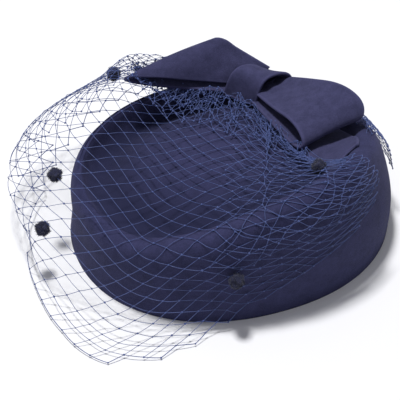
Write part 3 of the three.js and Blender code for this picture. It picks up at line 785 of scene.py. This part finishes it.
def square_lay(first, cell, turn):
    """A lattice turned by an angle t: a = first + cell (p cos t - q sin t), b = cell (p sin t + q cos t)."""
    c, s = np.cos(np.radians(turn)), np.sin(np.radians(turn))
    return lambda p, q: (first + cell * (p * c - q * s), cell * (p * s + q * c))


def near_lay(p, q):
    """The near net's lattice: a and b as the quadratics in p and q that NET_LAY lists."""
    p, q = p / 10, q / 10
    terms = np.stack([np.ones_like(p), p, q, p * p, p * q, q * q])
    return np.tensordot(NET_LAY, terms, 1)


def net(surface, lay, first, last, depth, cell, loose, lift, fold, seed):
    """Net on a veil surface: threads between the knots of a lattice, and a bead on each knot.

    lay turns a knot's place (p, q) into its length a round the veil and its depth b down it.
    Knots with a single link are left out, so the hem runs in steps, with a thicker thread along
    it: a thread that lacks a whole cell on one side. By the share down, loose
    moves knots about, as a share of the cell, lift raises them and fold moves them along the
    veil into pleats.
    """
    draw = np.random.default_rng(seed)
    reach = min(int((last - first + depth) / cell) + 2, NET_REACH)
    p, q = np.meshgrid(np.arange(-reach, reach + 1), np.arange(-reach, reach + 1), indexing="ij")
    a, b = lay(p, q)
    held = (a >= first) & (a <= last) & (b >= 0) & (b <= depth)
    for _ in range(3):
        links = np.zeros(held.shape, int)
        links[1:] += held[:-1]
        links[:-1] += held[1:]
        links[:, 1:] += held[:, :-1]
        links[:, :-1] += held[:, 1:]
        held &= links > 1
    v = b / RIB_LENGTH
    shake = draw.normal(size=(2, *v.shape)) * loose(v) * cell
    rise = lift(v) * np.abs(draw.normal(size=v.shape))
    spot = np.stack([a + shake[0] + fold(a, v), b + shake[1], rise], -1)

    def laid(spots):
        u, v = surface.across(spots[..., 0]), np.clip(spots[..., 1] / RIB_LENGTH, 0, 1)
        normals = surface.normal(u, v)
        return surface.point(u, v) + normals * spots[..., 2:], normals

    one, two = held[:-1] & held[1:], held[:, :-1] & held[:, 1:]
    whole = np.pad(one[:, :-1] & one[:, 1:] & two[:-1] & two[1:], 1)
    beside_one = whole[1:-1, :-1] & whole[1:-1, 1:]
    beside_two = whole[:-1, 1:-1] & whole[1:, 1:-1]
    inner = np.concatenate([beside_one[one], beside_two[two]])
    starts = np.concatenate([spot[:-1][one], spot[:, :-1][two]])
    hem = ~inner & (starts[:, 1] > HEM_START * RIB_LENGTH)
    radius = NET_THREAD / 2 * np.where(hem, HEM_SHARE, 1)[:, None]
    ends = np.concatenate([spot[1:][one], spot[:, 1:][two]])
    share = np.linspace(0, 1, 5)[None, :, None]
    paths, normals = laid(mix(starts[:, None], ends[:, None], share))
    sag = np.sin(np.pi * share) * draw.normal(size=(len(starts), 1, 1)) * 0.3
    points, quads, caps = tubes(paths + normals * np.abs(sag), normals, radius, sides=4)
    knots, normals = laid(spot[held])
    bead = beads(knots, normals, NET_KNOT / 2 * draw.uniform(0.8, 1.2, len(knots)))
    offset = len(points)
    quads = np.concatenate([quads, caps, bead[1] + offset])
    points = np.concatenate([points, bead[0]])
    points[:, 2] = np.maximum(points[:, 2], 0)
    return points, [quads, bead[2] + offset]


def veil(material):
    """The veil: a near and a far net, a second fold over the pleated near end, and a crumpled start."""
    surface = VeilSurface(VEIL_RIBS)
    total = surface.length[-1]

    def pleats(a, v):
        near_end = np.clip((a - total * PLEAT_START) / (total * PLEAT_FADE), 0, 1)
        return near_end * PLEAT_DEPTH * np.sin(TURN * a / PLEAT_SPACING) * (1 - 0.6 * v)

    def loose(v):
        return 0.03 + 0.2 * np.exp(-(v / 0.12) ** 2)

    def lift(v):
        return 0.1 + 2.5 * np.exp(-(v / 0.12) ** 2)

    points, faces = net(surface, near_lay, total * NEAR_START, total, RIB_LENGTH, NET_CELL, loose, lift,
                        pleats, 5)
    piece("veil_net", points, faces, material, ["veil"])
    points, faces = net(surface, square_lay(0, NET_CELL, 45), 0, total * FAR_END, RIB_LENGTH, NET_CELL, loose,
                        lift, pleats, 6)
    piece("veil_far_net", points, faces, material, ["veil"])
    layers = (("veil_fold", 0.80, 1.0, 0.8, 1.0, 33, 0.05), ("veil_gather", 0.36, 0.97, 0.2, 0.7, 20, 0.3),
              ("veil_tangle", 0.38, 0.93, 0.14, 0.55, 60, 0.36))
    for k, (name, first, last, depth, share, turn, crumple) in enumerate(layers):
        lay = square_lay(total * first, NET_CELL * share, turn)
        points, faces = net(surface, lay, total * first, total * last, RIB_LENGTH * depth, NET_CELL * share,
                            lambda v: crumple + 0 * v, lambda v: 0.4 + 3.2 * np.exp(-(v / 0.13) ** 2),
                            lambda a, v: 1.3 * pleats(a + 17, v), 8 + k)
        piece(name, points, faces, material)


# Chenille dots

def chenille_dot(name, centre, material, seed):
    """A tuft: a lobed ball under some hundred short fibres that stand out of it."""
    draw = np.random.default_rng(seed)
    rings, sides = 20, 28
    tilt = np.linspace(0, np.pi, rings + 2)[1:-1, None]
    bend = np.arange(sides)[None] / sides * TURN
    n = np.stack([np.sin(tilt) * np.cos(bend), np.sin(tilt) * np.sin(bend), np.cos(tilt) + 0 * bend], -1)
    phase = draw.uniform(0, TURN, 3)

    def reach(n):
        lobes = np.sin(4.2 * n[..., 0] + phase[0]) * np.sin(4.2 * n[..., 1] + phase[1])
        lobes = lobes * np.sin(4.2 * n[..., 2] + phase[2])
        return DOT_DIAMETER / 2 * (0.82 + 0.22 * lobes)

    body = centre + n * reach(n)[..., None]
    tips = np.array([[0, 0, 1.0], [0, 0, -1.0]])
    ends = centre + tips * reach(tips)[:, None]
    quads = grid_quads(rings, sides, closed=True)[:, ::-1]
    j = np.arange(sides)
    after = (j + 1) % sides
    count = rings * sides
    top = np.stack([np.full_like(j, count), j, after], -1)
    foot = np.stack([np.full_like(j, count + 1), (rings - 1) * sides + after, (rings - 1) * sides + j], -1)
    ball = np.concatenate([body.reshape(-1, 3), ends])
    out = unit(draw.normal(size=(700, 3)))
    root = centre + out * reach(out)[:, None] * 0.92
    lean = unit(out + draw.normal(size=out.shape) * 0.55)
    curl = unit(lean + draw.normal(size=out.shape) * 0.5)
    hair = draw.uniform(0.8, 1.7, (700, 1))
    path = np.stack([root, root + lean * hair * 0.55, root + lean * hair * 0.55 + curl * hair * 0.5], 1)
    width = np.array([0.17, 0.13, 0.05])
    across = np.broadcast_to(out[:, None] + [0.11, 0.07, 0.05], path.shape)
    hairs, sides_, caps = tubes(path, across, width, 3)
    base = len(ball)
    points = np.concatenate([ball, hairs])
    faces = [np.concatenate([quads, sides_ + base]), np.concatenate([top, foot, caps + base])]
    return piece(f"{name}_tuft", points, faces, material, [name])


# Building the hat

nap = felt_nap_group()
crown_felt = felt_material("crown_felt", (0.019, 0.021, 0.060), (0.044, 0.046, 0.122), 0.08, nap)
bow_felt = felt_material("bow_felt", (0.026, 0.027, 0.070), (0.058, 0.058, 0.138), 0.12, nap)
net_thread = thread_material("net_thread", (0.050, 0.078, 0.230), (0.084, 0.124, 0.340), 0.5, 0.1)
chenille = thread_material("chenille", (0.009, 0.011, 0.032), (0.028, 0.031, 0.080), 0.95, 0.3)

felt_crown(crown_felt)


def curl(height, pleats=0.0, ends=0.0):
    """A strip's relief: a low arch across it, and pleats that fade away from its first section."""
    def shape(s, t):
        arch = height * np.sin(np.pi * t) * np.sin(np.pi * np.clip(s, 0, 1)) ** 0.5
        fade = np.exp(-(s / 0.14) ** 2) + ends * np.exp(-((1 - s) / 0.14) ** 2)
        return arch + pleats * fade * np.sin(TURN * 2.5 * t + 0.6)
    return shape


felt_strip("bow_left_loop", LEFT_LOOP, bow_felt, shape=curl(-1.5, 0.5))
felt_strip("bow_right_loop", RIGHT_LOOP, bow_felt, shape=curl(-0.8, 0.8))
felt_strip("bow_knot", KNOT_WRAP, bow_felt, shape=curl(-1.0, 0.0))
felt_strip("bow_tail", TAIL, bow_felt, lies=True)
veil(net_thread)

for k in range(1, 6):
    low, high = (np.array(corner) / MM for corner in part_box(f"veil_dot_{k}"))
    chenille_dot(f"veil_dot_{k}", (low + high) / 2 - SHIFT, chenille, 40 + k)


# Stage, light and camera

def plain_material(name, colour, rough):
    """A plain matt surface for the floor."""
    material = bpy.data.materials.new(name)
    material.use_nodes = True
    shader = material.node_tree.nodes["Principled BSDF"]
    shader.inputs["Base Color"].default_value = (*colour, 1)
    shader.inputs["Roughness"].default_value = rough
    return material


def floor(side=6.0):
    """A pale square floor under the hat."""
    mesh = bpy.data.meshes.new("floor")
    h = side / 2
    mesh.from_pydata([(-h, -h, 0), (h, -h, 0), (h, h, 0), (-h, h, 0)], [], [(0, 1, 2, 3)])
    mesh.materials.append(plain_material("floor_white", (0.92, 0.92, 0.94), 0.7))
    thing = bpy.data.objects.new("floor", mesh)
    bpy.context.scene.collection.objects.link(thing)
    return thing


def area_light(name, place, aim, size, watts, colour=(1, 1, 1)):
    """A square soft light at a place, pointed at another."""
    lamp = bpy.data.lights.new(name, "AREA")
    lamp.size = size
    lamp.energy = watts
    lamp.color = colour
    thing = bpy.data.objects.new(name, lamp)
    thing.location = place
    thing.rotation_euler = (Vector(aim) - Vector(place)).to_track_quat("-Z", "Y").to_euler()
    bpy.context.scene.collection.objects.link(thing)
    return thing


# The photograph's view: pixels of the 400-pixel frame, degrees, and millimetres at the hat.
PHOTO_SIDE = 400
PHOTO_BASE = (229.3, 220.5)
PHOTO_TURN = np.radians(20)
PHOTO_RISE = np.radians(42)
PHOTO_SCALE = 0.648
CAMERA_DISTANCE = 1100
SENSOR = 36


def camera():
    """The photograph's camera: a long lens at its turn and rise, aimed so the hat's base lands in place."""
    st, ct, sr, cr = np.sin(PHOTO_TURN), np.cos(PHOTO_TURN), np.sin(PHOTO_RISE), np.cos(PHOTO_RISE)
    ahead = np.array([st * cr, ct * cr, -sr])
    right = np.array([ct, -st, 0])
    up = np.cross(right, ahead)
    centre = PHOTO_SIDE / 2
    aim = (centre - PHOTO_BASE[0]) * PHOTO_SCALE * right + (PHOTO_BASE[1] - centre) * PHOTO_SCALE * up
    place = (aim - CAMERA_DISTANCE * ahead + SHIFT) * MM
    lens = bpy.data.cameras.new("photo_view")
    lens.sensor_width = SENSOR
    lens.lens = CAMERA_DISTANCE / PHOTO_SCALE / PHOTO_SIDE * SENSOR
    lens.clip_end = 20
    thing = bpy.data.objects.new("photo_view", lens)
    turn = Matrix((right, up, -ahead)).transposed()
    thing.matrix_world = Matrix.Translation(place) @ turn.to_4x4()
    bpy.context.scene.collection.objects.link(thing)
    bpy.context.scene.camera = thing


def light():
    """A pale surround and one small light almost overhead, a little to the upper left."""
    world = bpy.data.worlds.new("white_room")
    world.use_nodes = True
    world.node_tree.nodes["Background"].inputs["Color"].default_value = (0.94, 0.95, 1.0, 1)
    world.node_tree.nodes["Background"].inputs["Strength"].default_value = 0.31
    bpy.context.scene.world = world
    area_light("key", (-0.12, 0.15, 1.65), (0, 0, 0.03), 0.22, 24)
    bpy.context.scene.view_settings.view_transform = "Standard"


floor()
light()
camera()
